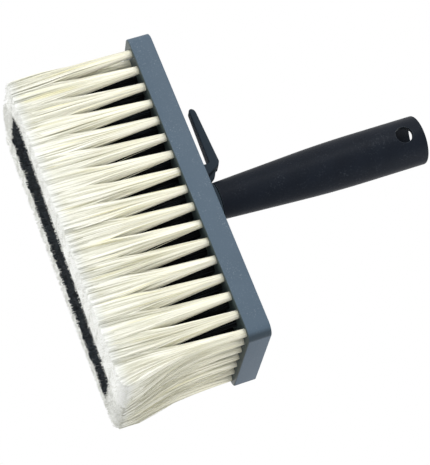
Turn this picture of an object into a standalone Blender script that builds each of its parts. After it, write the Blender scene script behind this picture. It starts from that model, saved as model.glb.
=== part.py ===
# Ceiling brush: a grey moulded block with bristle tufts, a black bucket hook and a black screw-on handle.
# It stands on its bristle tips. X runs along the block, Y across it, Z up along the handle.

import math

import bmesh
import bpy
from mathutils import Matrix, Vector

MM = 0.001

# Block
block_length = 170.0 * MM
block_width = 71.5 * MM
block_thickness = 11.7 * MM
block_corner_radius = 5.7 * MM
block_edge_round = 0.6 * MM

# Tuft holes in the block's lower face
tuft_columns = 17
tuft_rows = 7
left_margin = 8.0 * MM
right_margin = 5.2 * MM
side_margin = 4.7 * MM
hole_radius = 2.3 * MM
hole_depth = 8.4 * MM
hole_sides = 8

# Bristles
bristle_reach = 65.0 * MM
plug_radius = 1.8 * MM
plug_sides = 4
plug_stand = 1.0 * MM
strand_sides = 3
tuft_strands = 4
strand_root_radius = 0.6 * MM
root_spread = 1.06 * MM
tip_spread_share = 0.63
tip_gap = 0.6 * MM
right_flare = 4.2 * MM
left_flare = 2.8 * MM
left_corner_tuck = 4.2 * MM
end_draw_share = 0.13
end_twist = math.radians(6)
bend_from = 0.3 * MM
slice_width = 3.6 * MM
slice_thickness = 0.9 * MM
plug_foot_share = 0.4
strand_start_share = 0.6

# Threaded stud that the handle screws on
stud_radius = 5.2 * MM
stud_tip_chamfer = 0.8 * MM
flange_radius = 12.0 * MM
flange_thickness = 2.0 * MM
thread_pitch = 5.0 * MM
thread_turns = 4

# Handle
handle_length = 120.0 * MM
handle_base_radius = 9.15 * MM
handle_grip_radius = 12.95 * MM
handle_grip_height = 69.0 * MM
handle_wall = 2.3 * MM
handle_end_round = 1.5 * MM
neck_wall = 1.5 * MM
lip_reach = 0.9 * MM
lip_height = 1.2 * MM
hang_hole_radius = 4.5 * MM
hang_hole_from_end = 10.7 * MM

# Bucket hook
collar_radius = 9.7 * MM
collar_height = 8.1 * MM
tongue_reach = 52.0 * MM
tongue_gap = 11.4 * MM
tongue_root_thickness = 5.1 * MM
tongue_tip_thickness = 3.35 * MM
tongue_root_width = 8.0 * MM
tongue_tip_width = 6.0 * MM
leg_heel_reach = 17.4 * MM
leg_toe_reach = 19.8 * MM
rib_width = 3.0 * MM
hook_edge_round = 0.5 * MM

# Gaps between pieces, and how far a cutter runs past a face
seat_gap = 0.3 * MM
overrun = 1.0 * MM

# Heights and places that follow from the sizes
face_z = bristle_reach
back_z = face_z + block_thickness
column_pitch = (block_length - left_margin - right_margin) / (tuft_columns - 1)
row_pitch = (block_width - 2 * side_margin) / (tuft_rows - 1)
end_tuft_x = block_length / 2 - right_margin
tuft_room = min(column_pitch, row_pitch * (1 - end_draw_share)) - tip_gap
tuft_tip_radius = tuft_room / 2 / math.cos(math.pi / tuft_strands - end_twist)
tip_spread = tuft_tip_radius * tip_spread_share
strand_tip_radius = tuft_tip_radius - tip_spread
tip_overhang = end_tuft_x + right_flare + tuft_room / 2 - block_length / 2
block_x = -tip_overhang / 2
thread_travel = thread_pitch * thread_turns
stud_top_z = back_z + thread_travel
neck_inner_radius = stud_radius + seat_gap
neck_radius = neck_inner_radius + neck_wall
collar_bore_radius = neck_radius + seat_gap
collar_top_z = back_z + seat_gap + collar_height
shoulder_z = collar_top_z + seat_gap
handle_top_z = back_z + handle_length

# Sides of round pieces
round_steps = 36
small_steps = 24
corner_steps = 6
edge_steps = 2
grip_points = 10
bore_points = 5
fillet_points = 3

# How edges are rounded, shaded and merged
round_profile_share = 0.5
rim_angle = math.radians(55)
sharp_angle = math.radians(35)
flat_angle = math.radians(1)
merge_distance = 0.01 * MM

grey_colour = (0.135, 0.175, 0.212, 1.0)
black_colour = (0.016, 0.019, 0.024, 1.0)
cream_colour = (0.80, 0.76, 0.58, 1.0)
black_bristle_colour = (0.012, 0.014, 0.016, 1.0)


def clear_scene():
    for ob in list(bpy.data.objects):
        bpy.data.objects.remove(ob, do_unlink=True)


def make_collection(name):
    collection = bpy.data.collections.new(name)
    bpy.context.scene.collection.children.link(collection)
    return collection


def make_material(name, colour, roughness):
    material = bpy.data.materials.new(name)
    material.use_nodes = True
    shader = material.node_tree.nodes["Principled BSDF"]
    shader.inputs["Base Color"].default_value = colour
    shader.inputs["Roughness"].default_value = roughness
    shader.inputs["Metallic"].default_value = 0.0
    return material


def add_part(name, mesh, material):
    ob = bpy.data.objects.new(name, mesh)
    mesh.materials.clear()
    mesh.materials.append(material)
    parts.objects.link(ob)
    return ob


def add_cutter(name, mesh):
    ob = bpy.data.objects.new(name, mesh)
    ob.hide_render = True
    ob.display_type = "WIRE"
    cutters.objects.link(ob)
    return ob


def mesh_from(name, bm):
    mesh = bpy.data.meshes.new(name)
    bm.to_mesh(mesh)
    bm.free()
    return mesh


def evaluated_mesh(ob):
    bpy.context.view_layer.update()
    depsgraph = bpy.context.evaluated_depsgraph_get()
    return bpy.data.meshes.new_from_object(ob.evaluated_get(depsgraph))


def add_boolean(ob, other, operation):
    modifier = ob.modifiers.new(operation.lower() + "_" + other.name, "BOOLEAN")
    modifier.operation = operation
    modifier.solver = "EXACT"
    modifier.object = other


def add_bevel(ob, width, angle):
    modifier = ob.modifiers.new("rounded_edges", "BEVEL")
    modifier.width = width
    modifier.segments = edge_steps
    modifier.limit_method = "ANGLE"
    modifier.angle_limit = angle


def upright_prism(bm, centre, radius, bottom_z, top_z, sides, turn=0.0):
    place = Matrix.Translation((centre[0], centre[1], (bottom_z + top_z) / 2))
    place = place @ Matrix.Rotation(turn, 4, "Z")
    bmesh.ops.create_cone(
        bm, cap_ends=True, segments=sides, radius1=radius, radius2=radius,
        depth=top_z - bottom_z, matrix=place)


# A turned shape: the profile's points are (radius, height), down the outer side first
def turned_mesh(name, points, closed, steps):
    bm = bmesh.new()
    verts = [bm.verts.new((radius, 0.0, height)) for radius, height in points]
    for a, b in zip(verts, verts[1:]):
        bm.edges.new((a, b))
    if closed:
        bm.edges.new((verts[-1], verts[0]))
    profile = add_cutter(name + "_profile", mesh_from(name + "_profile", bm))
    modifier = profile.modifiers.new("turned", "SCREW")
    modifier.axis = "Z"
    modifier.angle = math.tau
    modifier.steps = steps
    modifier.render_steps = steps
    modifier.use_merge_vertices = True
    modifier.merge_threshold = merge_distance
    mesh = evaluated_mesh(profile)
    bpy.data.objects.remove(profile, do_unlink=True)
    mesh.shade_smooth()
    mesh.set_sharp_from_angle(angle=sharp_angle)
    return mesh


def tuft_place(column, row):
    x = block_x + end_tuft_x - (tuft_columns - 1 - column) * column_pitch
    y = (row - (tuft_rows - 1) / 2) * row_pitch
    return x, y


# Block: a rounded plate with a recess for the stud's flange and one blind hole for each tuft
def make_block():
    bm = bmesh.new()
    bmesh.ops.create_cube(bm, size=1.0)
    bmesh.ops.scale(bm, vec=(block_length, block_width, block_thickness), verts=bm.verts)
    middle = (block_x, 0.0, (face_z + back_z) / 2)
    bmesh.ops.translate(bm, vec=middle, verts=bm.verts)
    corners = [e for e in bm.edges if abs(e.verts[0].co.z - e.verts[1].co.z) > block_thickness / 2]
    bmesh.ops.bevel(bm, geom=corners, offset=block_corner_radius, segments=corner_steps,
                    profile=round_profile_share, affect="EDGES")
    block = add_part("block", mesh_from("block", bm), grey_plastic)
    add_bevel(block, block_edge_round, rim_angle)

    bm = bmesh.new()
    half_side = math.pi / hole_sides
    for column in range(tuft_columns):
        for row in range(tuft_rows):
            upright_prism(bm, tuft_place(column, row), hole_radius, face_z - overrun,
                          face_z + hole_depth, hole_sides, half_side)
    add_boolean(block, add_cutter("tuft_holes", mesh_from("tuft_holes", bm)), "DIFFERENCE")

    bm = bmesh.new()
    upright_prism(bm, (block_x, 0.0), flange_radius + seat_gap, back_z - flange_thickness,
                  back_z + overrun, small_steps)
    add_boolean(block, add_cutter("flange_recess", mesh_from("flange_recess", bm)), "DIFFERENCE")


# Threaded stud: its flange is bonded into the block's recess
def make_stud():
    flange_bottom_z = back_z - flange_thickness + seat_gap
    points = [
        (0.0, stud_top_z),
        (stud_radius - stud_tip_chamfer, stud_top_z),
        (stud_radius, stud_top_z - stud_tip_chamfer),
        (stud_radius, back_z),
        (flange_radius, back_z),
        (flange_radius, flange_bottom_z),
        (0.0, flange_bottom_z),
    ]
    mesh = turned_mesh("threaded_stud", points, False, small_steps)
    stud = add_part("threaded_stud", mesh, grey_plastic)
    stud.location.x = block_x


# The grip swells in a straight cone, then rounds off into a cylinder
cone_end_share = 0.75
level_share = 1.25


def grip_radius(height):
    t = height / handle_grip_height
    if t <= cone_end_share:
        swell = t
    elif t < level_share:
        run = t - cone_end_share
        swell = t - run * run / (2 * (level_share - cone_end_share))
    else:
        swell = (cone_end_share + level_share) / 2
    return handle_base_radius + (handle_grip_radius - handle_base_radius) * swell


# Handle: a hollow moulding with a threaded neck below and an open end that takes a pole
def handle_profile():
    outer = []
    top_radius = grip_radius(handle_length)
    for k in range(fillet_points + 1):
        angle = math.pi / 2 * (1 - k / fillet_points)
        outer.append((top_radius - handle_end_round * (1 - math.cos(angle)),
                      handle_top_z - handle_end_round * (1 - math.sin(angle))))
    level = handle_grip_height * level_share
    foot = shoulder_z - back_z
    for k in range(grip_points + 1):
        height = level + (foot - level) * k / grip_points
        outer.append((grip_radius(height), back_z + height))
    neck_bottom_z = back_z + seat_gap
    lip_top_z = neck_bottom_z + lip_height
    outer += [
        (neck_radius, shoulder_z),
        (neck_radius, lip_top_z),
        (neck_radius + lip_reach, lip_top_z),
        (neck_radius + lip_reach, neck_bottom_z),
    ]
    socket_end = stud_top_z + seat_gap - back_z
    inner = [
        (neck_inner_radius, neck_bottom_z),
        (neck_inner_radius, back_z + socket_end),
    ]
    widening = socket_end + handle_wall
    for k in range(bore_points + 1):
        height = widening + (level - widening) * k / bore_points
        inner.append((grip_radius(height) - handle_wall, back_z + height))
    inner.append((top_radius - handle_wall, handle_top_z))
    return outer + inner


def make_handle():
    mesh = turned_mesh("handle", handle_profile(), True, round_steps)
    handle = add_part("handle", mesh, black_plastic)
    handle.location.x = block_x

    bm = bmesh.new()
    bmesh.ops.create_cone(bm, cap_ends=True, segments=small_steps, radius1=hang_hole_radius,
                          radius2=hang_hole_radius, depth=2 * (handle_grip_radius + overrun),
                          matrix=Matrix.Rotation(math.pi / 2, 4, "X"))
    hole = add_cutter("hang_hole", mesh_from("hang_hole", bm))
    hole.location = (block_x, 0.0, handle_top_z - hang_hole_from_end)
    add_boolean(handle, hole, "DIFFERENCE")


# Bucket hook: a collar that swivels on the handle's neck, with a leg, a rib and a tongue over the block.
# An outline's points are (reach from the handle's axis, height above the block's back). The shares
# are of the way from the collar to the leg's toe or heel, and of the gap under the tongue
toe_shares = [(0.55, 0.18), (0.87, 0.38), (1.0, 0.63), (1.0, 0.94)]
heel_shares = [(0.57, 0.77), (0.40, 0.65)]
rib_shares = [(0.75, 0.84), (0.94, 1.26), (0.86, 1.19), (0.48, 1.06), (0.31, 0.92), (0.16, 0.79)]
collar_foot_share = 0.12
collar_head_share = 0.80
tip_height_share = 0.70
corner_share = 0.20


def collar_middle():
    return (neck_radius + lip_reach + seat_gap + collar_radius) / 2


def stepped(shares, reach):
    start = collar_middle()
    return [(start + (reach - start) * out, tongue_gap * up) for out, up in shares]


def arm_outline():
    foot = (collar_middle(), seat_gap + collar_height * collar_foot_share)
    head = (collar_middle(), seat_gap + collar_height * collar_head_share)
    top = tongue_gap + tongue_root_thickness
    corner = tongue_root_thickness * corner_share
    tip_middle = tongue_gap + tongue_tip_thickness * tip_height_share
    tip_half = tongue_tip_thickness / 2
    tongue = [
        (leg_toe_reach + corner, tongue_gap),
        (tongue_reach - tongue_tip_thickness, tip_middle - tip_half),
        (tongue_reach - tip_half / 2, tip_middle - tip_half / 2),
        (tongue_reach, tip_middle),
        (tongue_reach - tip_half / 2, tip_middle + tip_half / 2),
        (tongue_reach - tongue_tip_thickness, tip_middle + tip_half),
        (leg_heel_reach + corner * 2, top),
        (leg_heel_reach, top - corner),
    ]
    return ([foot] + stepped(toe_shares, leg_toe_reach) + tongue
            + stepped(heel_shares, leg_heel_reach) + [head])


def rib_outline():
    foot = (collar_middle(), seat_gap + collar_height * collar_foot_share * 2)
    head = (collar_middle(), seat_gap + collar_height * collar_head_share)
    return [foot] + stepped(rib_shares, leg_heel_reach) + [head]


# A flat outline, stood up across the block and centred on it
def plate_bmesh(name, outline, width):
    curve = bpy.data.curves.new(name, "CURVE")
    curve.dimensions = "2D"
    curve.fill_mode = "BOTH"
    curve.extrude = width / 2
    spline = curve.splines.new("POLY")
    spline.points.add(len(outline) - 1)
    for point, (reach, height) in zip(spline.points, outline):
        point.co = (-reach, height, 0.0, 1.0)
    spline.use_cyclic_u = True
    flat = bpy.data.objects.new(name, curve)
    flat.rotation_euler.x = math.pi / 2
    cutters.objects.link(flat)
    mesh = evaluated_mesh(flat)
    bm = bmesh.new()
    bm.from_mesh(mesh)
    bm.transform(flat.matrix_world)
    bpy.data.objects.remove(flat, do_unlink=True)
    bmesh.ops.remove_doubles(bm, verts=bm.verts, dist=merge_distance)
    bmesh.ops.dissolve_limit(bm, angle_limit=flat_angle, verts=bm.verts, edges=bm.edges)
    bmesh.ops.recalc_face_normals(bm, faces=bm.faces)
    return bm


# The tongue narrows in plan from its root to its tip
def narrow_tongue(bm):
    tip_ratio = tongue_tip_width / tongue_root_width
    for vert in bm.verts:
        share = (-vert.co.x - leg_toe_reach) / (tongue_reach - leg_toe_reach)
        share = max(0.0, min(1.0, share))
        vert.co.y *= 1 + (tip_ratio - 1) * share


def collar_mesh():
    lip_recess_radius = neck_radius + lip_reach + seat_gap
    lip_recess_height = seat_gap + lip_height + seat_gap
    points = [
        (collar_bore_radius, seat_gap + collar_height),
        (collar_radius, seat_gap + collar_height),
        (collar_radius, seat_gap),
        (lip_recess_radius, seat_gap),
        (lip_recess_radius, lip_recess_height),
        (collar_bore_radius, lip_recess_height),
    ]
    return turned_mesh("hook_collar", points, True, round_steps)


def make_hook():
    bm = plate_bmesh("arm", arm_outline(), tongue_root_width)
    narrow_tongue(bm)
    hook = add_part("bucket_hook", mesh_from("bucket_hook", bm), black_plastic)
    add_bevel(hook, hook_edge_round, rim_angle)
    rib = add_cutter("hook_rib", mesh_from("hook_rib", plate_bmesh("rib", rib_outline(), rib_width)))
    collar = add_cutter("hook_collar", collar_mesh())
    add_boolean(hook, rib, "UNION")
    add_boolean(hook, collar, "UNION")
    for ob in (hook, rib, collar):
        ob.location = (block_x, 0.0, back_z)


# How far the bristles lean at a place in the grid. Both ends flare outwards and draw together across
# the block, and the corners at -X are tucked in
def flare(x, y):
    far_y = tuft_place(0, tuft_rows - 1)[1]
    along = (x - block_x) / end_tuft_x
    across = y / far_y
    lean_x = right_flare if along > 0 else left_corner_tuck * across ** 2 - left_flare
    return Vector((lean_x, -end_draw_share * y, 0.0)) * along ** 4


# One strand: a tapered prism lofted along the strand's line from root to tip
def add_strand(bm, root, tip, top_z, lean, spans, turn):
    rings = []
    for k in range(spans + 1):
        down = k / spans
        centre = root.lerp(tip, down) + lean * down * down
        radius = strand_root_radius + (strand_tip_radius - strand_root_radius) * down
        ring = []
        for side in range(strand_sides):
            angle = turn + math.tau * side / strand_sides
            out = Vector((math.cos(angle), math.sin(angle), 0.0)) * radius
            ring.append(bm.verts.new((centre.x + out.x, centre.y + out.y, top_z * (1 - down))))
        rings.append(ring)
    for upper, lower in zip(rings, rings[1:]):
        for side in range(strand_sides):
            other = (side + 1) % strand_sides
            bm.faces.new((upper[side], lower[side], lower[other], upper[other]))
    bm.faces.new(rings[0])
    bm.faces.new(reversed(rings[-1]))


def add_tuft_strands(bm, place, top_z, spans):
    centre = Vector((place[0], place[1], 0.0))
    twist = end_twist * (centre.x - block_x) / end_tuft_x
    for k in range(tuft_strands):
        angle = math.tau * (k + 0.5) / tuft_strands + twist
        out = Vector((math.cos(angle), math.sin(angle), 0.0))
        add_strand(bm, centre + out * root_spread, centre + out * tip_spread, top_z,
                   flare(*place), spans, angle)


# Cream tufts: each plug fills its hole and carries its own strands
def make_cream_tuft(name, place):
    bm = bmesh.new()
    upright_prism(bm, place, plug_radius, face_z - plug_stand,
                  face_z + hole_depth - seat_gap, plug_sides, math.pi / plug_sides)
    tuft = add_part(name, mesh_from(name, bm), cream_bristle)
    bm = bmesh.new()
    spans = 2 if flare(*place).length > bend_from else 1
    add_tuft_strands(bm, place, face_z - plug_stand / 2, spans)
    add_boolean(tuft, add_cutter(name + "_strands", mesh_from(name + "_strands", bm)), "UNION")


# Black rows: a thin slice under the block joins the tufts of one row
def make_black_row(name, row):
    first = tuft_place(1, row)
    last = tuft_place(tuft_columns - 2, row)
    top_z = face_z - seat_gap
    bm = bmesh.new()
    bmesh.ops.create_cube(bm, size=1.0)
    length = last[0] - first[0] + slice_width
    bmesh.ops.scale(bm, vec=(length, slice_width, slice_thickness), verts=bm.verts)
    middle = ((first[0] + last[0]) / 2, first[1], top_z - slice_thickness / 2)
    bmesh.ops.translate(bm, vec=middle, verts=bm.verts)
    base = add_part(name, mesh_from(name, bm), black_bristle)

    bm = bmesh.new()
    for column in range(1, tuft_columns - 1):
        place = tuft_place(column, row)
        upright_prism(bm, place, plug_radius, top_z - slice_thickness * plug_foot_share,
                      face_z + hole_depth - seat_gap, plug_sides, math.pi / plug_sides)
        add_tuft_strands(bm, place, top_z - slice_thickness * strand_start_share, 1)
    add_boolean(base, add_cutter(name + "_strands", mesh_from(name + "_strands", bm)), "UNION")


def make_bristles():
    last_row = tuft_rows - 1
    for column in range(tuft_columns):
        make_cream_tuft(f"front_tuft_{column + 1:02d}", tuft_place(column, 0))
        make_cream_tuft(f"back_tuft_{column + 1:02d}", tuft_place(column, last_row))
    for row in range(1, last_row):
        make_cream_tuft(f"left_end_tuft_{row}", tuft_place(0, row))
        make_cream_tuft(f"right_end_tuft_{row}", tuft_place(tuft_columns - 1, row))
        make_black_row(f"black_tuft_row_{row}", row)


clear_scene()
parts = make_collection("ceiling_brush")
cutters = make_collection("cutters")
grey_plastic = make_material("grey_plastic", grey_colour, 0.55)
black_plastic = make_material("black_plastic", black_colour, 0.42)
cream_bristle = make_material("cream_bristle", cream_colour, 0.5)
black_bristle = make_material("black_bristle", black_bristle_colour, 0.5)
make_block()
make_stud()
make_hook()
make_handle()
make_bristles()
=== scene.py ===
# Ceiling brush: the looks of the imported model. It stands on its bristle tips, handle up, and every piece
# below is made at the place that its CAD node has.

import math
import random

import bmesh
import bpy
from mathutils import Matrix, Quaternion, Vector


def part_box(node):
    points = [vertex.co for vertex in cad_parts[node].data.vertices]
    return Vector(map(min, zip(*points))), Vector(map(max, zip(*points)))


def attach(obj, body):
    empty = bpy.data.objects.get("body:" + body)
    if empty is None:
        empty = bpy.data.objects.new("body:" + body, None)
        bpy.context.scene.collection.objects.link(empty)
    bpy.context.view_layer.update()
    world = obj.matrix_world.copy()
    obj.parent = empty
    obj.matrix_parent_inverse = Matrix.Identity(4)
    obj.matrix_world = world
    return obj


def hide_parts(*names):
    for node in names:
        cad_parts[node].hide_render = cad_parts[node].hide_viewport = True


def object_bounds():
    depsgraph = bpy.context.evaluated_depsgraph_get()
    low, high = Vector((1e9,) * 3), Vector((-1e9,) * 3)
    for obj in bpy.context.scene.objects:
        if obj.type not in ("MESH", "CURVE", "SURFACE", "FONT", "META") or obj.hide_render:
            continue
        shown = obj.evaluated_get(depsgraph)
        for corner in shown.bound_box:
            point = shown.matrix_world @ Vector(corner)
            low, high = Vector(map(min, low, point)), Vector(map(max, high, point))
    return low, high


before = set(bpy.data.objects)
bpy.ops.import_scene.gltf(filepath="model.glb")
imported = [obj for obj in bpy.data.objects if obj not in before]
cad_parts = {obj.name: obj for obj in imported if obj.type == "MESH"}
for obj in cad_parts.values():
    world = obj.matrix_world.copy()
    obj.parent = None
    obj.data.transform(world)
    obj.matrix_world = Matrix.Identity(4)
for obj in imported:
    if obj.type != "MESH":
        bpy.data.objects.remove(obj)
cad_low, cad_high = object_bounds()


# ---- Block -------------------------------------------------------------------------------------------
# The body of the brush: one thick plate of blue-grey polypropylene, injection moulded, with a blind hole
# for each tuft drilled in its lower face and a round recess for the stud's flange in its back.

MM = 0.001
block_low, block_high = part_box("block")
block_middle = (block_low + block_high) / 2
axis_x = block_middle.x
face_z = block_low.z
back_z = block_high.z
corner_radius = 5.7 * MM
lip_round = 0.6 * MM
corner_points = 14
lip_points = 4
tuft_columns = 17
tuft_rows = 7
column_pitch = 9.8 * MM
row_pitch = 10.35 * MM
end_tuft_reach = 79.8 * MM
hole_radius = 2.3 * MM
hole_rim_radius = 2.6 * MM
hole_rim_depth = 0.3 * MM
hole_depth = 8.4 * MM
flange_radius = 12.0 * MM
flange_thickness = 2.0 * MM
seat_gap = 0.3 * MM
overrun = 1.0 * MM
hole_steps = 20
recess_steps = 64


def add_object(name, data):
    made = bpy.data.objects.new(name, data)
    bpy.context.scene.collection.objects.link(made)
    return made


def set_material(piece, material):
    piece.data.materials.clear()
    piece.data.materials.append(material)


def mesh_of_rings(name, rings, looped=False):
    """Skins rings of equal point count, each a list of (x, y, z), from the first to the last. A looped
    skin goes on to the first ring again, and any other has a flat face over each end."""
    count = len(rings[0])
    points = [point for ring in rings for point in ring]
    pairs = list(zip(range(len(rings) - 1), range(1, len(rings))))
    if looped:
        pairs.append((len(rings) - 1, 0))
    faces = []
    for a, b in pairs:
        for k in range(count):
            after = (k + 1) % count
            faces.append((a * count + k, a * count + after, b * count + after, b * count + k))
    if not looped:
        faces.append(tuple(reversed(range(count))))
        faces.append(tuple(range((len(rings) - 1) * count, len(rings) * count)))
    mesh = bpy.data.meshes.new(name)
    mesh.from_pydata(points, [], faces)
    bm = bmesh.new()
    bm.from_mesh(mesh)
    bmesh.ops.recalc_face_normals(bm, faces=bm.faces)
    bm.to_mesh(mesh)
    bm.free()
    return mesh


def skinned(name, rings, looped=False):
    """A piece or a cutting tool made of rings."""
    return add_object(name, mesh_of_rings(name, rings, looped))


def smooth(piece, sharp_degrees):
    piece.data.shade_smooth()
    piece.data.set_sharp_from_angle(angle=math.radians(sharp_degrees))


def keep_shape(piece):
    """Makes the shape that a piece's modifiers give it the piece's own mesh."""
    bpy.context.view_layer.update()
    shaped = piece.evaluated_get(bpy.context.evaluated_depsgraph_get())
    mesh = bpy.data.meshes.new_from_object(shaped)
    piece.modifiers.clear()
    piece.data = mesh


def cut_or_join(target, tool, operation):
    """One exact boolean on target's mesh; the tool is used up."""
    modifier = target.modifiers.new("shape", "BOOLEAN")
    modifier.solver = "EXACT"
    modifier.operation = operation
    modifier.object = tool
    keep_shape(target)
    bpy.data.objects.remove(tool, do_unlink=True)


def turned_ring(radius, z, steps, centre=(0.0, 0.0)):
    return [
        (centre[0] + radius * math.cos(math.tau * k / steps),
         centre[1] + radius * math.sin(math.tau * k / steps), z)
        for k in range(steps)
    ]


def rounding(radius, steps):
    """A rounded edge as (inset, depth) from the flat it leaves to the side it meets."""
    turns = [math.pi / 2 * k / steps for k in range(steps + 1)]
    return [(radius * (1 - math.sin(turn)), radius * (1 - math.cos(turn))) for turn in turns]


def tuft_place(column, row):
    x = axis_x + end_tuft_reach - (tuft_columns - 1 - column) * column_pitch
    return x, (row - (tuft_rows - 1) / 2) * row_pitch


def plate_ring(inset, z):
    """The block's outline, set in by inset, at height z."""
    radius = corner_radius - inset
    ring = []
    for quarter, (side_x, side_y) in enumerate(((1, 1), (-1, 1), (-1, -1), (1, -1))):
        centre_x = axis_x + side_x * (block_high.x - axis_x - corner_radius)
        centre_y = block_middle.y + side_y * (block_high.y - block_middle.y - corner_radius)
        for k in range(corner_points + 1):
            angle = math.pi / 2 * (quarter + k / corner_points)
            ring.append((centre_x + radius * math.cos(angle), centre_y + radius * math.sin(angle), z))
    return ring


block_lip = rounding(lip_round, lip_points)
block_rings = [plate_ring(inset, face_z + depth) for inset, depth in block_lip]
block_rings += [plate_ring(inset, back_z - depth) for inset, depth in reversed(block_lip)]
block_piece = skinned("block_moulding", block_rings)

drill_rings = [(hole_rim_radius, -overrun), (hole_rim_radius, 0.0),
               (hole_radius, hole_rim_depth), (hole_radius, hole_depth)]
drills = bmesh.new()
for column in range(tuft_columns):
    for row in range(tuft_rows):
        rings = [turned_ring(radius, face_z + depth, hole_steps, tuft_place(column, row))
                 for radius, depth in drill_rings]
        drills.from_mesh(mesh_of_rings("drill", rings))
drill_mesh = bpy.data.meshes.new("drills")
drills.to_mesh(drill_mesh)
drills.free()
cut_or_join(block_piece, add_object("drills", drill_mesh), "DIFFERENCE")
recess_rings = [turned_ring(flange_radius + seat_gap, z, recess_steps, (axis_x, 0.0))
                for z in (back_z - flange_thickness, back_z + overrun)]
cut_or_join(block_piece, skinned("recess", recess_rings), "DIFFERENCE")
smooth(block_piece, 30)


def add_node(tree, kind, inputs=None, **settings):
    """A node with its settings; an input is given as a value, or as the output that feeds it."""
    made = tree.nodes.new(kind)
    for name, value in settings.items():
        setattr(made, name, value)
    for name, value in (inputs or {}).items():
        if isinstance(value, bpy.types.NodeSocket):
            tree.links.new(value, made.inputs[name])
        else:
            made.inputs[name].default_value = value
    return made


def calculated(tree, operation, *values):
    made = add_node(tree, "ShaderNodeMath", dict(enumerate(values)), operation=operation)
    return made.outputs["Value"]


def ranged(tree, value, low, high, start=0.0, end=1.0):
    """value's run from low to high, laid out from start to end and held there beyond it."""
    made = add_node(tree, "ShaderNodeMapRange",
                    {"Value": value, "From Min": low, "From Max": high, "To Min": start, "To Max": end})
    return made.outputs["Result"]


def noise(tree, place, scale, detail, roughness=0.5):
    made = add_node(tree, "ShaderNodeTexNoise",
                    {"Vector": place, "Scale": scale, "Detail": detail, "Roughness": roughness})
    return made.outputs["Fac"]


def mixed(tree, mask, start, end, blend="MIX"):
    """A blend by mask of two colours, each given as a value or as the output that feeds it."""
    made = add_node(tree, "ShaderNodeMix", {"Factor": mask}, data_type="RGBA", blend_type=blend)
    first, second, result = made.inputs[6], made.inputs[7], made.outputs[2]
    for socket, colour in ((first, start), (second, end)):
        if isinstance(colour, bpy.types.NodeSocket):
            tree.links.new(colour, socket)
        else:
            socket.default_value = (*colour, 1.0)
    return result


def new_group(name, inputs, outputs):
    """An empty shader group with named number sockets: {name: default} in, and names out."""
    tree = bpy.data.node_groups.new(name, "ShaderNodeTree")
    for socket, default in inputs.items():
        made = tree.interface.new_socket(name=socket, in_out="INPUT", socket_type="NodeSocketFloat")
        made.default_value = default
    for socket in outputs:
        tree.interface.new_socket(name=socket, in_out="OUTPUT", socket_type="NodeSocketFloat")
    given = tree.nodes.new("NodeGroupInput").outputs
    return tree, given, tree.nodes.new("NodeGroupOutput").inputs


def new_material(name):
    material = bpy.data.materials.new(name)
    material.use_nodes = True
    tree = material.node_tree
    return material, tree, tree.nodes["Principled BSDF"]


def feed_surface(tree, shader, colour, relief, depth, strength, roughness, specular):
    """Gives a shader its colour, and its sheen and bumps from one relief."""
    tree.links.new(colour, shader.inputs["Base Color"])
    tree.links.new(ranged(tree, relief, 0.0, 1.0, *roughness), shader.inputs["Roughness"])
    bump = add_node(tree, "ShaderNodeBump", {"Height": relief, "Distance": depth, "Strength": strength})
    tree.links.new(bump.outputs["Normal"], shader.inputs["Normal"])
    shader.inputs["Specular IOR Level"].default_value = specular


# Moulded plastic: broad cloudiness of the melt, small pale specks that gather where the surface is
# scuffed, and the tool's spark-eroded grain
speck_range = (0.56, 0.72)
scuff_range = (0.45, 0.66)
scuff_gain = (0.5, 2.6)
melt_group, given, put = new_group(
    "moulded_surface",
    {"Cloud Scale": 60.0, "Speck Scale": 1200.0, "Speck Amount": 0.3, "Scuff Scale": 110.0,
     "Grain Scale": 4000.0},
    ("Cloud", "Specks", "Grain"))
place = add_node(melt_group, "ShaderNodeTexCoord").outputs["Object"]
cloud = noise(melt_group, place, given["Cloud Scale"], 4.0)
speck = noise(melt_group, place, given["Speck Scale"], 2.0, 0.7)
speck = ranged(melt_group, speck, *speck_range, 0.0, given["Speck Amount"])
scuff = noise(melt_group, place, given["Scuff Scale"], 1.0)
scuff = ranged(melt_group, scuff, *scuff_range, *scuff_gain)
grain = noise(melt_group, place, given["Grain Scale"], 3.0, 0.6)
melt_group.links.new(cloud, put["Cloud"])
melt_group.links.new(calculated(melt_group, "MULTIPLY", speck, scuff), put["Specks"])
melt_group.links.new(grain, put["Grain"])

# Rubbed edges: where a small rounding of the surface would turn its normal, there is an edge
edge_match = (0.995, 0.90)
edge_group, given, put = new_group(
    "rubbed_edges", {"Width": 0.5 * MM, "Patchiness": 300.0}, ("Edge",))
rounded = add_node(edge_group, "ShaderNodeBevel", {"Radius": given["Width"]}, samples=6)
flat = add_node(edge_group, "ShaderNodeNewGeometry")
match = add_node(edge_group, "ShaderNodeVectorMath",
                 {0: rounded.outputs["Normal"], 1: flat.outputs["Normal"]}, operation="DOT_PRODUCT")
turned = ranged(edge_group, match.outputs["Value"], *edge_match)
place = add_node(edge_group, "ShaderNodeTexCoord").outputs["Object"]
patches = noise(edge_group, place, given["Patchiness"], 3.0)
edge_group.links.new(calculated(edge_group, "MULTIPLY", turned, patches), put["Edge"])


def plastic(name, dark, light, speck_colour, edge_colour, speck_amount, grain_depth,
            roughness, specular, cloud_scale):
    """Moulded plastic whose colour runs from dark to light, with specks, rubbed edges and grain."""
    material, tree, shader = new_material(name)
    melt = add_node(tree, "ShaderNodeGroup", {"Speck Amount": speck_amount, "Cloud Scale": cloud_scale},
                    node_tree=melt_group).outputs
    edge = add_node(tree, "ShaderNodeGroup", node_tree=edge_group).outputs["Edge"]
    colour = mixed(tree, melt["Cloud"], dark, light)
    colour = mixed(tree, melt["Specks"], colour, speck_colour)
    colour = mixed(tree, edge, colour, edge_colour)
    feed_surface(tree, shader, colour, melt["Grain"], depth=grain_depth, strength=0.6,
                 roughness=roughness, specular=specular)
    return material


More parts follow.
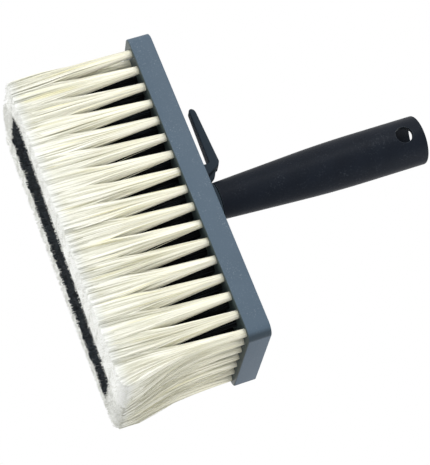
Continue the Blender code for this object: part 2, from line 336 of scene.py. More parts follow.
grey_polypropylene = plastic(
    "grey_polypropylene", dark=(0.073, 0.106, 0.142), light=(0.087, 0.125, 0.167),
    speck_colour=(0.19, 0.23, 0.27), edge_colour=(0.20, 0.24, 0.27), speck_amount=0.35,
    grain_depth=0.05 * MM, roughness=(0.36, 0.52), specular=0.12, cloud_scale=60.0)

# Painted shade: its drilled face is darkened to an olive grey, as where the tufts shade it and bounce their
# cream light on it, and the two rounded corners of its right end get a darker band, a painted dark
# reflection
face_painted_shade = (0.047, 0.064, 0.064)
face_painted_shade_heights = (face_z + 0.3 * MM, face_z + 0.1 * MM)
# The painted dark reflection band on the right end's two rounded corners, and where it lies
corner_painted_shade = (0.042, 0.060, 0.077)
corner_painted_shade_reach = (80.3 * MM, 82.0 * MM)
corner_painted_shade_width = (29.8 * MM, 31.2 * MM)
tree = grey_polypropylene.node_tree
place = add_node(tree, "ShaderNodeTexCoord").outputs["Object"]
axes = add_node(tree, "ShaderNodeSeparateXYZ", {"Vector": place}).outputs
near_end = ranged(tree, axes["X"], *corner_painted_shade_reach)
near_side = ranged(tree, calculated(tree, "ABSOLUTE", axes["Y"]), *corner_painted_shade_width)
at_corner = calculated(tree, "MULTIPLY", near_end, near_side)
at_face = ranged(tree, axes["Z"], *face_painted_shade_heights)
colour_socket = tree.nodes["Principled BSDF"].inputs["Base Color"]
# Each mask mixes in a painted shade: the dark band on the right end's corners, and the shade of the drilled
# face
for mask, shade_tone in ((at_corner, corner_painted_shade), (at_face, face_painted_shade)):
    shaded_colour = mixed(tree, mask, colour_socket.links[0].from_socket, shade_tone)
    tree.links.new(shaded_colour, colour_socket)
set_material(block_piece, grey_polypropylene)
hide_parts("block")
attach(block_piece, "head")


# ---- Threaded stud -----------------------------------------------------------------------------------
# The post that the handle screws on: grey polypropylene with a coarse four-turn thread moulded on it and
# a round flange, which is bonded in the recess of the block's back.

stud_low, stud_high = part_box("threaded_stud")
crest_radius = 5.2 * MM
thread_root_radius = 4.45 * MM
thread_pitch = 5.0 * MM
thread_start = 0.6 * MM
thread_fade = 1.2 * MM
flank_foot = 0.25
flank_rise = 0.5
stud_tip_chamfer = 0.8 * MM
flange_round = 0.4 * MM
flange_centre = 0.02 * MM
stud_steps = 72
thread_rows = 96


def clamped(value, low=0.0, high=1.0):
    return min(high, max(low, value))


def thread_radius(z, turn):
    """A round-topped ridge that climbs one pitch a turn and dies away at both ends of the post."""
    phase = (z / thread_pitch - turn) % 1.0
    ridge = 0.5 + 0.5 * math.cos(math.tau * (phase - 0.5))
    ridge = clamped((ridge - flank_foot) / flank_rise)
    thread_end = stud_high.z - back_z - stud_tip_chamfer
    ends = clamped(min(z - thread_start, thread_end - z) / thread_fade)
    return thread_root_radius + (crest_radius - thread_root_radius) * ridge * ends


stud_rings = [turned_ring(radius, z, stud_steps)
              for radius, z in ((flange_centre, stud_low.z), (flange_radius, stud_low.z),
                                (flange_radius, back_z - flange_round),
                                (flange_radius - flange_round, back_z))]
for row in range(thread_rows + 1):
    z = (stud_high.z - stud_tip_chamfer - back_z) * row / thread_rows
    ring = []
    for k in range(stud_steps):
        radius, angle = thread_radius(z, k / stud_steps), math.tau * k / stud_steps
        ring.append((radius * math.cos(angle), radius * math.sin(angle), back_z + z))
    stud_rings.append(ring)
stud_rings.append(turned_ring(thread_root_radius - stud_tip_chamfer, stud_high.z, stud_steps))

stud_piece = skinned("stud_thread", stud_rings)
stud_piece.data.transform(Matrix.Translation((axis_x, 0.0, 0.0)))
smooth(stud_piece, 35)
set_material(stud_piece, grey_polypropylene)
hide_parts("threaded_stud")
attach(stud_piece, "head")


# ---- Bucket hook -------------------------------------------------------------------------------------
# A tongue that hangs the brush on a bucket's rim: collar, leg, rib and tongue in one black moulding. The
# collar turns on the handle's neck above its lip.

neck_radius = 7.0 * MM
lip_reach = 0.9 * MM
lip_height = 1.2 * MM
collar_radius = 9.7 * MM
collar_bore_radius = neck_radius + seat_gap
collar_height = 8.1 * MM
tongue_reach = 52.0 * MM
tongue_gap = 11.4 * MM
tongue_root_thickness = 5.1 * MM
tongue_tip_thickness = 3.35 * MM
tongue_root_width = 8.0 * MM
tongue_tip_width = 6.0 * MM
leg_heel_reach = 17.4 * MM
leg_toe_reach = 19.8 * MM
rib_width = 3.0 * MM
hook_edge_round = 0.6 * MM
rib_edge_round = 0.4 * MM
sharp_rim = 60
collar_round = 0.5 * MM
collar_round_points = 4
collar_steps = 96
collar_middle = (neck_radius + lip_reach + seat_gap + collar_radius) / 2

# Outlines are in shares of the way out from the collar and up to the tongue. The tongue's tip is rounded
# by (length, height) shares of its thickness, below and above its foremost point.
toe_shares = [(0.55, 0.18), (0.87, 0.38), (1.0, 0.63), (1.0, 0.94)]
heel_shares = [(0.57, 0.77), (0.40, 0.65)]
rib_front_shares = [(0.75, 0.84), (0.94, 1.26)]
rib_back_shares = [(0.86, 1.19), (0.48, 1.06), (0.31, 0.92), (0.16, 0.79)]
leg_foot_share = 0.12
rib_foot_share = 0.24
leg_head_share = 0.8
corner_share = 0.2
tip_under = (0.36, 0.36)
tip_over = (0.95, 0.64)
tip_points = 12


def stepped(shares, reach):
    return [(collar_middle + (reach - collar_middle) * out, tongue_gap * up) for out, up in shares]


def in_collar(share):
    """The point of an outline inside the collar's wall, at a share of the collar's height."""
    return collar_middle, seat_gap + collar_height * share


def eased(points, steps=5):
    """The same outline with a smooth curve through its points."""
    curve = []
    for k in range(len(points) - 1):
        before = points[max(k - 1, 0)]
        start, end = points[k], points[k + 1]
        after = points[min(k + 2, len(points) - 1)]
        for step in range(steps):
            t = step / steps
            curve.append(tuple(
                0.5 * (2 * s + (e - b) * t + (2 * b - 5 * s + 4 * e - a) * t * t
                       + (3 * s - b - 3 * e + a) * t ** 3)
                for b, s, e, a in zip(before, start, end, after)))
    return curve + [points[-1]]


def arm_outline():
    top = tongue_gap + tongue_root_thickness
    corner = tongue_root_thickness * corner_share
    toe = [in_collar(leg_foot_share), *stepped(toe_shares, leg_toe_reach),
           (leg_toe_reach + corner, tongue_gap)]
    tip_bottom = tongue_gap + tongue_tip_thickness * corner_share
    tip = []
    for k in range(tip_points + 1):
        turn = math.pi * k / tip_points - math.pi / 2
        length, height = tip_under if turn < 0 else tip_over
        tip.append((tongue_reach - tongue_tip_thickness * length * (1 - math.cos(turn)),
                    tip_bottom + tongue_tip_thickness * (tip_under[1] + height * math.sin(turn))))
    heel = [(leg_heel_reach + corner * 2, top), (leg_heel_reach, top - corner),
            *stepped(heel_shares, leg_heel_reach), in_collar(leg_head_share)]
    return eased(toe) + tip + heel


def rib_outline():
    front = [in_collar(rib_foot_share), *stepped(rib_front_shares, leg_heel_reach)]
    back = [*stepped(rib_back_shares, leg_heel_reach), in_collar(leg_head_share)]
    return front + eased(back)


def upright_plate(name, outline, width):
    """A flat outline of (reach, height), stood up across the block and thickened to both sides."""
    bm = bmesh.new()
    half = width / 2
    sides = [[bm.verts.new((axis_x - reach, y, back_z + height)) for reach, height in outline]
             for y in (-half, half)]
    for k in range(len(outline)):
        after = (k + 1) % len(outline)
        bm.faces.new((sides[0][k], sides[0][after], sides[1][after], sides[1][k]))
    bm.faces.new(sides[0])
    bm.faces.new(reversed(sides[1]))
    bmesh.ops.recalc_face_normals(bm, faces=bm.faces)
    mesh = bpy.data.meshes.new(name)
    bm.to_mesh(mesh)
    bm.free()
    return add_object(name, mesh)


def round_rims(piece, width, segments):
    """Rounds the edges that turn by more than the angle of a sharp rim."""
    modifier = piece.modifiers.new("rims", "BEVEL")
    modifier.width = width
    modifier.segments = segments
    modifier.limit_method = "ANGLE"
    modifier.angle_limit = math.radians(sharp_rim)
    keep_shape(piece)


hook_piece = upright_plate("hook_moulding", arm_outline(), tongue_root_width)
for vertex in hook_piece.data.vertices:
    share = (axis_x - vertex.co.x - leg_toe_reach) / (tongue_reach - leg_toe_reach)
    vertex.co.y *= 1 + (tongue_tip_width / tongue_root_width - 1) * clamped(share)
round_rims(hook_piece, hook_edge_round, 4)
rib = upright_plate("rib", rib_outline(), rib_width)
round_rims(rib, rib_edge_round, 3)
cut_or_join(hook_piece, rib, "UNION")

collar_rim = rounding(collar_round, collar_round_points)
collar_profile = [(collar_radius - inset, seat_gap + collar_height - depth) for inset, depth in collar_rim]
collar_profile += [(collar_radius - inset, seat_gap + depth) for inset, depth in reversed(collar_rim)]
collar_profile += [
    (neck_radius + lip_reach + seat_gap, seat_gap),
    (neck_radius + lip_reach + seat_gap, 2 * seat_gap + lip_height),
    (collar_bore_radius, 2 * seat_gap + lip_height),
    (collar_bore_radius, seat_gap + collar_height),
]
collar_rings = [turned_ring(radius, back_z + height, collar_steps, (axis_x, 0.0))
                for radius, height in collar_profile]
cut_or_join(hook_piece, skinned("collar", collar_rings, looped=True), "UNION")
smooth(hook_piece, 32)
hook_nylon = plastic(
    "hook_nylon", dark=(0.0245, 0.0345, 0.0450), light=(0.0300, 0.0420, 0.0545),
    speck_colour=(0.035, 0.042, 0.052), edge_colour=(0.020, 0.027, 0.034), speck_amount=0.3,
    grain_depth=0.05 * MM, roughness=(0.58, 0.74), specular=0.04, cloud_scale=110.0)
set_material(hook_piece, hook_nylon)
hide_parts("bucket_hook")
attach(hook_piece, "hook")


# ---- Handle ------------------------------------------------------------------------------------------
# A hollow black moulding with a fine matt grain. Its neck screws on the stud, the grip swells towards the
# open end that takes a pole, and a hang hole goes through both walls.

handle_top_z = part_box("handle")[1].z
handle_length = handle_top_z - back_z
handle_base_radius = 9.15 * MM
handle_grip_radius = 12.95 * MM
grip_height = 69.0 * MM
cone_end_share = 0.75
level_share = 1.25
handle_wall = 2.3 * MM
handle_end_round = 0.9 * MM
mouth_chamfer_out = 0.4 * MM
mouth_chamfer_down = 0.5 * MM
neck_inner_radius = 5.5 * MM
shoulder_height = 8.7 * MM
hang_hole_radius = 4.5 * MM
hang_hole_from_end = 10.7 * MM
hang_hole_steps = 64
drill_reach = 20.0 * MM
end_points = 8
grip_points = 32
bore_points = 12
handle_steps = 128


def grip_radius(height):
    """A straight cone that rounds off into a cylinder."""
    t = height / grip_height
    if t <= cone_end_share:
        swell = t
    elif t < level_share:
        run = t - cone_end_share
        swell = t - run * run / (2 * (level_share - cone_end_share))
    else:
        swell = (cone_end_share + level_share) / 2
    return handle_base_radius + (handle_grip_radius - handle_base_radius) * swell


def handle_profile():
    top_radius = grip_radius(handle_length)
    level = grip_height * level_share
    outer = [(top_radius - inset, handle_top_z - depth)
             for inset, depth in rounding(handle_end_round, end_points)]
    for k in range(grip_points + 1):
        height = level + (shoulder_height - level) * k / grip_points
        outer.append((grip_radius(height), back_z + height))
    neck_bottom_z = back_z + seat_gap
    lip_top_z = neck_bottom_z + lip_height
    outer += [(neck_radius, back_z + shoulder_height), (neck_radius, lip_top_z),
              (neck_radius + lip_reach, lip_top_z), (neck_radius + lip_reach, neck_bottom_z)]
    socket_end = stud_high.z + seat_gap - back_z
    inner = [(neck_inner_radius, neck_bottom_z), (neck_inner_radius, back_z + socket_end)]
    widening = socket_end + handle_wall
    for k in range(bore_points + 1):
        height = widening + (level - widening) * k / bore_points
        inner.append((grip_radius(height) - handle_wall, back_z + height))
    inner.append((top_radius - handle_wall, handle_top_z - mouth_chamfer_down))
    inner.append((top_radius - handle_wall + mouth_chamfer_out, handle_top_z))
    return outer + inner


handle_rings = [turned_ring(radius, z, handle_steps, (axis_x, 0.0)) for radius, z in handle_profile()]
handle_piece = skinned("handle_moulding", handle_rings, looped=True)
drill = skinned("hang_hole_drill", [turned_ring(hang_hole_radius, z, hang_hole_steps)
                                    for z in (-drill_reach, drill_reach)])
drill.rotation_euler.x = math.pi / 2
drill.location = (axis_x, 0.0, handle_top_z - hang_hole_from_end)
cut_or_join(handle_piece, drill, "DIFFERENCE")
smooth(handle_piece, 32)
black_nylon = plastic(
    "black_nylon", dark=(0.0040, 0.0058, 0.0100), light=(0.0084, 0.0120, 0.0195),
    speck_colour=(0.035, 0.042, 0.052), edge_colour=(0.060, 0.075, 0.090), speck_amount=0.3,
    grain_depth=0.06 * MM, roughness=(0.36, 0.52), specular=0.075, cloud_scale=90.0)
set_material(handle_piece, black_nylon)
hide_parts("handle")
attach(handle_piece, "handle")


# ---- Bristles ----------------------------------------------------------------------------------------
# 119 tufts of synthetic filament, a cream border round a black field, pushed into their holes and cut flat
# at the tips. Each tuft leaves its hole as a tight bundle and fans out on the way down.

root_radius = 2.05 * MM
root_depth = 2.5 * MM
tight_length = 1.0 * MM
top_z = face_z - tight_length
filament_root_radius = 0.14 * MM
filament_tip_radius = 0.10 * MM
filament_bow = 0.3
filament_waves = (0.8, 2.0)

# How a tuft opens, in shares of the way down and in half pitches
own_reach = 1.04
shared_reach = 1.12
meeting_share = 0.93
slowing_power = 4
round_until = 0.42
square_from = 0.74
end_opening_power = 2.5
end_bend_power = 3
combing_power = 2.6

# Where combing and use have left the tips. The black strip's two edges are each (place at the block's
# middle, slant), and its corner is (where it begins, slant beyond). An end's inner and outer side have a
# place in the grid and a shift from it, by the sign of the end.
half_width = 35.75 * MM
near_border = 25.875 * MM
near_tip_line = -35.3 * MM
far_tip_line = 30.5 * MM
strip_near = (-14.1 * MM, 0.14)
strip_far = (20.5 * MM, 0.066)
strip_corner = (-60.0 * MM, 0.9)
end_columns = {-1: (-72.1 * MM, -81.9 * MM), 1: (74.9 * MM, 84.7 * MM)}
end_shifts = {-1: (1.1 * MM, -1.6 * MM), 1: (-0.6 * MM, 6.0 * MM)}
left_corner_tuck = 4.8 * MM
end_draw_share = 0.06
border_power = 4
worn_end_round = 4.5 * MM
worn_side_round = 2.0 * MM
worn_rise_power = 4
soft_edge = 1.6 * MM


def between(value, start, end, low, high):
    return low + (high - low) * (value - start) / (end - start)


def kept_inside(value, low, high):
    """value, eased towards the limits so that it never passes them and nothing piles up on them."""
    if value > high - soft_edge:
        return high - soft_edge * math.exp(-(value - high + soft_edge) / soft_edge)
    if value < low + soft_edge:
        return low + soft_edge * math.exp((value - low - soft_edge) / soft_edge)
    return value


def combed_y(u, y):
    """Where a filament of the grid place (u, y) ends across the brush. u is from the block's middle. The
    black field is pressed away from the near side and lies at a slant."""
    near_edge = strip_near[0] + strip_near[1] * u
    near_edge += max(0.0, strip_corner[0] - u) * strip_corner[1]
    far_edge = strip_far[0] + strip_far[1] * u
    if y < -near_border:
        tip_y = between(y, -half_width, -near_border, near_tip_line, near_edge)
    elif y < near_border:
        tip_y = between(y, -near_border, near_border, near_edge, far_edge)
    else:
        tip_y = between(y, near_border, half_width, far_edge, far_tip_line)
    return tip_y * (1 - end_draw_share * (u / end_tuft_reach) ** border_power)


def end_lean(u, y):
    """How far the bristles of the two ends bend outwards along the brush at their tips."""
    side = 1 if u > 0 else -1
    inner, outer = end_columns[side]
    inner_shift, outer_shift = end_shifts[side]
    if abs(u) < abs(inner):
        return inner_shift * (u / inner) ** border_power
    lean = between(u, inner, outer, inner_shift, outer_shift)
    if side < 0:
        lean += left_corner_tuck * min((y / half_width) ** 2, 1.0) * (u - inner) / (outer - inner)
    return lean


def worn_rise(x, y):
    """How much shorter a filament is at the right end and along the near side, where the cut end is worn
    round."""
    rise = 0.0
    for over, radius in ((x - cad_high.x, worn_end_round), (cad_low.y - y, worn_side_round)):
        over = min(radius, over + radius)
        if over > 0:
            rise += radius - math.sqrt(radius ** 2 - over ** 2)
    return rise


def disc_point(a, b):
    """A point of the unit disc for a point of the square from -1 to 1."""
    if a == 0 and b == 0:
        return 0.0, 0.0
    if abs(a) > abs(b):
        radius, angle = a, math.pi / 4 * b / a
    else:
        radius, angle = b, math.pi / 2 - math.pi / 4 * a / b
    return radius * math.cos(angle), radius * math.sin(angle)


def is_cream(column, row):
    return column in (0, tuft_columns - 1) or row in (0, tuft_rows - 1)


def reach_towards(tuft, step_column, step_row):
    """How far a tuft's cut end reaches to one side, in half pitches: well over a neighbour of its own
    colour, and hardly over one of the other or past the brush's edge."""
    column, row = tuft[0] + step_column, tuft[1] + step_row
    inside = 0 <= column < tuft_columns and 0 <= row < tuft_rows
    return shared_reach if inside and is_cream(column, row) == is_cream(*tuft) else own_reach


def opened(tuft, step_column, step_row, down):
    """The share of its reach that a side of a tuft has at a share of the way down. Towards a neighbour
    of its own colour it spreads until they meet, slower and slower, and from there they run down
    together."""
    if reach_towards(tuft, step_column, step_row) == own_reach:
        return down
    share = min(1.0, down / meeting_share)
    return (share - share ** slowing_power / slowing_power) / (1 - 1 / slowing_power)


def half_widths(tuft, a, b):
    """How far the tuft reaches at its cut end, on the sides that (a, b) lies on."""
    return (reach_towards(tuft, 1 if a > 0 else -1, 0) * column_pitch / 2,
            reach_towards(tuft, 0, 1 if b > 0 else -1) * row_pitch / 2)


def grid_place(tuft, a, b, stray=(0.0, 0.0)):
    """The place on the brush, before combing, of the filament at (a, b) in its tuft, -1 to 1 both ways."""
    root_x, root_y = tuft_place(*tuft)
    reach_x, reach_y = half_widths(tuft, a, b)
    return (root_x - axis_x + a * reach_x + stray[0] * column_pitch / 2,
            root_y + b * reach_y + stray[1] * row_pitch / 2)


def fanned(tuft, a, b, down, stray=(0.0, 0.0), sway=(0.0, 0.0)):
    """Where that filament is at a share of the way down. The round tuft fans out straight and turns
    square at its cut end; the sides at the brush's ends, and their bend, open late."""
    root_x, root_y = tuft_place(*tuft)
    reach_x, reach_y = half_widths(tuft, a, b)
    outer = (tuft[0] == 0 and a < 0) or (tuft[0] == tuft_columns - 1 and a > 0)
    fan_x = down ** end_opening_power if outer else opened(tuft, 1 if a > 0 else -1, 0, down)
    fan_y = opened(tuft, 0, 1 if b > 0 else -1, down)
    round_a, round_b = disc_point(a, b)
    square = clamped((down - round_until) / (square_from - round_until))
    square = square * square * (3 - 2 * square)
    across = round_a + (a - round_a) * square
    along = round_b + (b - round_b) * square
    u, y = grid_place(tuft, a, b, stray)
    x_now = root_x + across * between(fan_x, 0.0, 1.0, root_radius, reach_x)
    y_now = root_y + along * between(fan_y, 0.0, 1.0, root_radius, reach_y)
    x_now += stray[0] * column_pitch / 2 * down + end_lean(u, y) * down ** end_bend_power + sway[0]
    y_now += stray[1] * row_pitch / 2 * down + (combed_y(u, y) - y) * down ** combing_power + sway[1]
    return (kept_inside(x_now, cad_low.x + filament_root_radius, cad_high.x - filament_root_radius),
            kept_inside(y_now, cad_low.y + filament_root_radius, cad_high.y - filament_root_radius))


# A tuft's bundle is skinned from rings of points. Its rim gives the (share of the way down, size) of the
# rings that round off its cut end. Ridges run down it, a few broad and more fine ones, counted round the
# bundle, and cracks, whose width and slant are in steps and whose levels are shares of the way down.
bundle_rings = 14
bundle_steps = 200
bundle_end = 0.960
bundle_rim = [(0.975, 1.0), (0.984, 0.985), (0.988, 0.955), (0.989, 0.88), (0.989, 0.6), (0.989, 0.3),
              (0.989, 0.02)]
bundle_fill = 0.94
bundle_lift = (0.0, 0.25)
broad_ridges, broad_count = range(7, 16), 2
fine_ridges, fine_count = range(20, 92), 14
fine_fall = 0.3
ridge_twist = 0.5
ridge_least, ridge_swell = 0.02, 0.05
ridge_start, ridge_run = 0.15, 0.88
crack_count = 12
crack_depth = 0.26
crack_steps = 2.2
crack_length = 0.28
crack_slant = 6
crack_levels = (0.35, 0.9)
crack_strengths = (0.4, 1.0)
# A bundle's painted shade: the tone of its flanks, and how much lighter its ridges and darker its valleys
# and cracks are painted
flank_shade = 0.96
ridge_shade = 0.14
crack_shade = 1.1
sharp_cut = 125


def ridge_depth(down):
    """Ridges are finest near the root, deepest below the middle and lie together again at the tips."""
    run = max(0.0, down - ridge_start) / ridge_run
    return ridge_least + ridge_swell * math.sin(math.pi * run) ** 2


class Tufts:
    """The mesh of one node's tufts. Each point keeps its shade, a random tone on a filament and painted
    shade in a bundle's valleys and cracks, and its lay: the place of its filament before combing and its
    height, in which all filaments run straight down."""

    def __init__(self, seed):
        self.draw = random.Random(seed)
        self.points, self.faces, self.shades, self.lays = [], [], [], []

    def add_filament(self, tuft, a, b, stray, lift, start, spans, thickness, shade):
        """One tapered three-sided filament, from its root in the hole, or from start, to its cut tip."""
        draw = self.draw
        spot = grid_place(tuft, a, b, stray)
        bow = (draw.gauss(0, filament_bow) * MM, draw.gauss(0, filament_bow) * MM)
        wave = draw.uniform(*filament_waves)
        turn = draw.uniform(0, math.tau)
        lift += worn_rise(*fanned(tuft, a, b, 1.0, stray))
        line = []
        if start == 0.0:
            line.append((*fanned(tuft, a, b, 0.0), face_z + root_depth))
        for k in range(spans + 1):
            down = start + (1 - start) * k / spans
            sway = math.sin(math.pi * down * wave) * down
            x, y = fanned(tuft, a, b, down, stray, (bow[0] * sway, bow[1] * sway))
            line.append((x, y, top_z + (lift - top_z) * down))
        first = len(self.points)
        for x, y, z in line:
            share = (top_z - z) / top_z
            radius = between(share, 0.0, 1.0, filament_root_radius, filament_tip_radius) * thickness
            for side in range(3):
                angle = turn + math.tau * side / 3
                self.points.append((x + radius * math.cos(angle), y + radius * math.sin(angle), z))
                self.lays.append((*spot, z))
                self.shades.append(shade)
        last = first + 3 * (len(line) - 1)
        for low in range(first, last, 3):
            for side in range(3):
                after = (side + 1) % 3
                self.faces.append((low + side, low + 3 + side, low + 3 + after, low + after))
        self.faces.append((first, first + 1, first + 2))
        self.faces.append((last + 2, last + 1, last))

    def add_bundle(self, tuft):
        """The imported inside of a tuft: one ridged and cracked body that fans out as its filaments do,
        with a rounded rim at the cut end."""
        draw = self.draw
        ridges = [(count, draw.uniform(0, math.tau), draw.uniform(-ridge_twist, ridge_twist),
                   (fine_ridges[0] / count) ** fine_fall)
                  for count in draw.sample(broad_ridges, broad_count) + draw.sample(fine_ridges, fine_count)]
        largest = math.sqrt(sum(height ** 2 for _, _, _, height in ridges))
        cracks = [(draw.randrange(bundle_steps), draw.uniform(-crack_slant, crack_slant),
                   draw.uniform(*crack_levels), draw.uniform(*crack_strengths))
                  for _ in range(crack_count)]
        lift = draw.uniform(*bundle_lift) * MM
        levels = [(bundle_end * k / bundle_rings, 1.0) for k in range(bundle_rings + 1)] + bundle_rim
        first = len(self.points)
        for k, (down, size_share) in enumerate(levels):
            z = face_z + root_depth if k == 0 else top_z * (1 - down) + lift * down
            full = bundle_fill * size_share
            for step in range(bundle_steps):
                angle = math.tau * step / bundle_steps
                ridge = sum(height * math.cos(count * angle + phase + twist * down)
                            for count, phase, twist, height in ridges) / largest
                crack = max(strength * max(0.0, 1 - abs(step - middle - slant * down) / crack_steps)
                            * math.exp(-((down - level) / crack_length) ** 2)
                            for middle, slant, level, strength in cracks)
                size = full * (1 + ridge_depth(down) * ridge - crack_depth * crack)
                far = max(abs(math.cos(angle)), abs(math.sin(angle)))
                a, b = size * math.cos(angle) / far, size * math.sin(angle) / far
                x, y = fanned(tuft, a, b, down)
                rise = worn_rise(*fanned(tuft, a, b, 1.0)) * down ** worn_rise_power
                self.points.append((x, y, z + rise))
                spot = grid_place(tuft, full / far * math.cos(angle), full / far * math.sin(angle))
                self.lays.append((*spot, z))
                # Painted shade: lighter on the ridges, darker in the valleys and cracks between them
                self.shades.append(clamped(flank_shade + ridge_shade * ridge - crack_shade * crack))
        for k in range(len(levels) - 1):
            low = first + k * bundle_steps
            for step in range(bundle_steps):
                after = (step + 1) % bundle_steps
                self.faces.append((low + after, low + step, low + bundle_steps + step,
                                   low + bundle_steps + after))
        self.faces.append(tuple(range(first, first + bundle_steps)))
        last = len(self.points) - bundle_steps
        self.faces.append(tuple(range(len(self.points) - 1, last - 1, -1)))

    def mesh(self, name):
        made = bpy.data.meshes.new(name)
        made.from_pydata(self.points, [], self.faces)
        made.attributes.new("strand", "FLOAT", "POINT").data.foreach_set("value", self.shades)
        lays = [value for lay in self.lays for value in lay]
        made.attributes.new("lay", "FLOAT_VECTOR", "POINT").data.foreach_set("vector", lays)
        made.shade_smooth()
        made.set_sharp_from_angle(angle=math.radians(sharp_cut))
        return made


# The root's tint turns into the tip's between two heights, and the cut end's tone comes in between two
# others. Streaks and straw locks lie where their noise, drawn out along the filaments, is in a range.
tint_heights = (0.7 * face_z, 0.0)
cut_heights = (6.0 * MM, 0.9 * MM)
streak_scale = 1700.0
streak_range = (0.46, 0.60)
lock_scale = 700.0
lock_range = (0.60, 0.70)
dot_scale = 3200.0
along_filament = (1.0, 1.0, 0.03)


def bristle_material(name, pale, deep, straw, cut, tone_and_painted_valley_shade, roughness, specular):
    """Filament colour: streaks of a pale and a deep tone, each (root, tip), and a few of straw, along
    the lay of the filaments; the cut ends dotted in two tones; and each point's shade, down to the
    valley tint: a random tone on a filament, and painted shade in a bundle's valleys and cracks."""
    material, tree, shader = new_material(name)
    strand = add_node(tree, "ShaderNodeAttribute", attribute_name="strand").outputs["Fac"]
    lay = add_node(tree, "ShaderNodeAttribute", attribute_name="lay").outputs["Vector"]
    height = add_node(tree, "ShaderNodeSeparateXYZ", {"Vector": lay}).outputs["Z"]
    drawn_out = add_node(tree, "ShaderNodeMapping",
                         {"Vector": lay, "Scale": along_filament}).outputs["Vector"]
    streaks = noise(tree, drawn_out, streak_scale, 2.0)
    locks = noise(tree, drawn_out, lock_scale, 2.0)
    dots = noise(tree, drawn_out, dot_scale, 1.0)
    down = ranged(tree, height, *tint_heights)
    colour = mixed(tree, ranged(tree, streaks, *streak_range),
                   mixed(tree, down, *pale), mixed(tree, down, *deep))
    colour = mixed(tree, ranged(tree, locks, *lock_range), colour, straw)
    colour = mixed(tree, ranged(tree, height, *cut_heights), colour, mixed(tree, dots, *cut))
    # Each point's shade darkens the colour towards the valley tint: painted shade in a bundle's valleys and
    # cracks, a random tone on a filament
    colour = mixed(tree, 1.0, colour, mixed(tree, strand, tone_and_painted_valley_shade, (1.0, 1.0, 1.0)), blend="MULTIPLY")
    feed_surface(tree, shader, colour, streaks, depth=0.04 * MM, strength=0.3, roughness=roughness,
                 specular=specular)
    return material


# The cream's valley tint is an olive painted shade, as of light bounced between the filaments
cream_filament = bristle_material(
    "cream_filament", pale=((0.98, 0.965, 0.845), (0.86, 0.86, 0.77)),
    deep=((0.94, 0.915, 0.74), (0.60, 0.60, 0.50)), straw=(0.86, 0.83, 0.58),
    cut=((0.60, 0.62, 0.57), (1.0, 1.0, 0.99)), tone_and_painted_valley_shade=(0.42, 0.41, 0.30),
    roughness=(0.3, 0.5), specular=0.4)
# The black's blue-grey tones towards its tips, in its straw locks and its cut dots are partly its own tone
# and partly a painted glint
black_filament = bristle_material(
    "black_filament", pale=((0.010, 0.012, 0.014), (0.007, 0.009, 0.011)),
    deep=((0.020, 0.025, 0.030), (0.042, 0.056, 0.068)), straw=(0.064, 0.084, 0.098),
    cut=((0.010, 0.013, 0.016), (0.045, 0.058, 0.070)), tone_and_painted_valley_shade=(0.08, 0.08, 0.08),
    roughness=(0.4, 0.6), specular=0.10)

# How many filaments of a tuft run its whole length and how many only its last part, where those start,
# and how far they stray and spread (in half pitches) and end short (in mm)
cream_whole, cream_spans = 60, 6
cream_short, cream_short_spans = 120, 1
cream_short_starts = (0.86, 0.95)
cream_shell = (0.85, 1.0)
cream_shades = (0.6, 1.0)
cream_lift = 0.35
loose_chance = 0.05
loose_stray, kept_stray = 0.4, 0.06
black_whole, black_spans = 75, 5
black_short, black_short_spans = 55, 2
black_short_starts = (0.6, 0.9)
black_lift = 0.25
black_thickness = 1.5
lock_count = 14
lock_stray, lock_spread = 0.16, 0.2
lock_lift = 1.1
lock_shade = 0.65


def cream_tufts(tufts, places):
    """A solid bundle with loose filaments over it; the short ones only show at the cut end."""
    draw = tufts.draw
    for place in places:
        tufts.add_bundle(place)
        for k in range(cream_whole + cream_short):
            a, b = draw.uniform(-1, 1), draw.uniform(-1, 1)
            loose = loose_stray if draw.random() < loose_chance else kept_stray
            stray = (draw.gauss(0, loose), draw.gauss(0, loose))
            lift = abs(draw.gauss(0, cream_lift)) * MM
            start, spans = 0.0, cream_spans
            if k < cream_whole:
                far = max(abs(a), abs(b))
                shell = draw.uniform(*cream_shell)
                a, b = a / far * shell, b / far * shell
            else:
                start, spans = draw.uniform(*cream_short_starts), cream_short_spans
            tufts.add_filament(place, a, b, stray, lift, start, spans, 1.0, draw.uniform(*cream_shades))


def black_tufts(tufts, places):
    """Filaments in locks, which lean and end together and so give the cut end its rough, mottled look."""
    draw = tufts.draw
    for place in places:
        locks = [(draw.uniform(-1, 1), draw.uniform(-1, 1),
                  (draw.gauss(0, lock_stray), draw.gauss(0, lock_stray)),
                  abs(draw.gauss(0, lock_lift)) * MM, draw.random()) for _ in range(lock_count)]
        for k in range(black_whole + black_short):
            mid_a, mid_b, stray, lift, shade = locks[k % lock_count]
            a = clamped(mid_a + draw.gauss(0, lock_spread), -1.0, 1.0)
            b = clamped(mid_b + draw.gauss(0, lock_spread), -1.0, 1.0)
            start, spans = 0.0, black_spans
            if k >= black_whole:
                start, spans = draw.uniform(*black_short_starts), black_short_spans
            tip_lift = lift + abs(draw.gauss(0, black_lift)) * MM
            tufts.add_filament(place, a, b, stray, tip_lift, start, spans, black_thickness,
                               lock_shade * shade + (1 - lock_shade) * draw.random())


def dress_tufts(node, places, seed, cream=True):
    fill, material, slot = ((cream_tufts, cream_filament, "cream_bristle") if cream
                            else (black_tufts, black_filament, "black_bristle"))
    tufts = Tufts(seed)
    fill(tufts, places)
    name = node + "_filaments"
    piece = add_object(name, tufts.mesh(name))
    set_material(piece, material)
    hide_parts(node)
    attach(piece, "head")


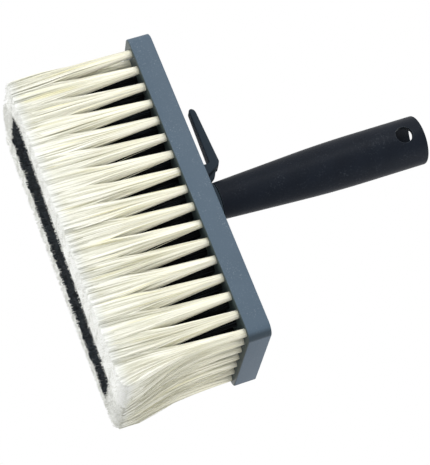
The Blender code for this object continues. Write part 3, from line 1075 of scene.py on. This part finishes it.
last_row = tuft_rows - 1
last_column = tuft_columns - 1
for column in range(tuft_columns):
    dress_tufts(f"front_tuft_{column + 1:02d}", [(column, 0)], 100 + column)
    dress_tufts(f"back_tuft_{column + 1:02d}", [(column, last_row)], 200 + column)
for row in range(1, last_row):
    dress_tufts(f"left_end_tuft_{row}", [(0, row)], 300 + row)
    dress_tufts(f"right_end_tuft_{row}", [(last_column, row)], 400 + row)
    inner = [(column, row) for column in range(1, last_column)]
    dress_tufts(f"black_tuft_row_{row}", inner, 500 + row, cream=False)


# ---- Studio ------------------------------------------------------------------------------------------
# A plain pale floor at the bristle tips, a white surround and broad soft lamps. The photograph is taken
# from below the tips, so the floor shows only from above, and its object lets all light through.

half_floor = 2.0
floor_colour = (0.86, 0.86, 0.85, 1.0)
floor_glow = 0.42
surround_light = 0.65
white = (1.0, 1.0, 1.0, 1.0)
floor_corners = [(x * half_floor, y * half_floor, 0.0) for x, y in ((-1, -1), (1, -1), (1, 1), (-1, 1))]
floor_mesh = bpy.data.meshes.new("floor")
floor_mesh.from_pydata(floor_corners, [], [(0, 1, 2, 3)])
floor_material, tree, shader = new_material("pale_floor")
shader.inputs["Base Color"].default_value = floor_colour
shader.inputs["Roughness"].default_value = 0.9
shader.inputs["Emission Color"].default_value = white
watched = add_node(tree, "ShaderNodeLightPath").outputs["Is Camera Ray"]
tree.links.new(calculated(tree, "MULTIPLY", watched, floor_glow), shader.inputs["Emission Strength"])
clear = add_node(tree, "ShaderNodeBsdfTransparent")
seen_from_below = add_node(tree, "ShaderNodeNewGeometry").outputs["Backfacing"]
either = add_node(tree, "ShaderNodeMixShader",
                  {"Fac": seen_from_below, 1: shader.outputs["BSDF"], 2: clear.outputs["BSDF"]})
tree.links.new(either.outputs["Shader"], tree.nodes["Material Output"].inputs["Surface"])
floor = add_object("floor", floor_mesh)
set_material(floor, floor_material)
floor.visible_diffuse = False
floor.visible_glossy = False
floor.visible_transmission = False
floor.visible_shadow = False

world = bpy.data.worlds.new("studio")
bpy.context.scene.world = world
world.use_nodes = True
tree = world.node_tree
background = tree.nodes["Background"]
background.inputs["Color"].default_value = white
paths = add_node(tree, "ShaderNodeLightPath").outputs
mirrored = calculated(tree, "MAXIMUM", paths["Is Glossy Ray"], paths["Is Transmission Ray"])
seen = calculated(tree, "MAXIMUM", paths["Is Camera Ray"], mirrored)
tree.links.new(ranged(tree, seen, 0.0, 1.0, surround_light, 1.0), background.inputs["Strength"])

lamp_aim = Vector((axis_x, 0.0, 0.08))


def soft_lamp(name, place, size, power):
    """A square lamp that faces the brush."""
    data = bpy.data.lights.new(name, "AREA")
    data.shape = "SQUARE"
    data.size = size
    data.energy = power
    lamp = add_object(name, data)
    lamp.location = place
    lamp.rotation_mode = "QUATERNION"
    lamp.rotation_quaternion = (lamp_aim - Vector(place)).to_track_quat("-Z", "Y")


soft_lamp("key_lamp", (0.10, -1.15, -0.25), 1.2, 5.8)
soft_lamp("top_lamp", (-0.85, -0.45, 0.4), 0.6, 0.9)
soft_lamp("side_lamp", (-0.50, -0.95, 0.46), 0.31, 3.2)
soft_lamp("end_lamp", (0.65, 0.1, 0.85), 0.6, 3.5)
soft_lamp("back_lamp", (-0.40, 1.1, 0.15), 0.8, 2.5)
soft_lamp("tip_lamp", (-0.35, -0.15, -0.9), 0.6, 4.4)

# The camera stands below and in front of the brush, turned so that the handle points to the right
camera_place = Vector((322.365, -805.661, -127.515)) * MM
camera_aim = Vector((-1.085, 39.241, 87.938)) * MM
camera_roll = math.radians(72.7096)
camera_data = bpy.data.cameras.new("camera")
camera_data.sensor_fit = "AUTO"
camera_data.sensor_width = 36.0
camera_data.lens = 137.9186
camera_data.clip_start = 0.01
camera_data.clip_end = 20.0
camera = add_object("camera", camera_data)
camera.location = camera_place
camera.rotation_mode = "QUATERNION"
level_view = (camera_aim - camera_place).to_track_quat("-Z", "Y")
camera.rotation_quaternion = level_view @ Quaternion((0.0, 0.0, 1.0), camera_roll)
bpy.context.scene.camera = camera
bpy.context.scene.view_settings.view_transform = "Standard"
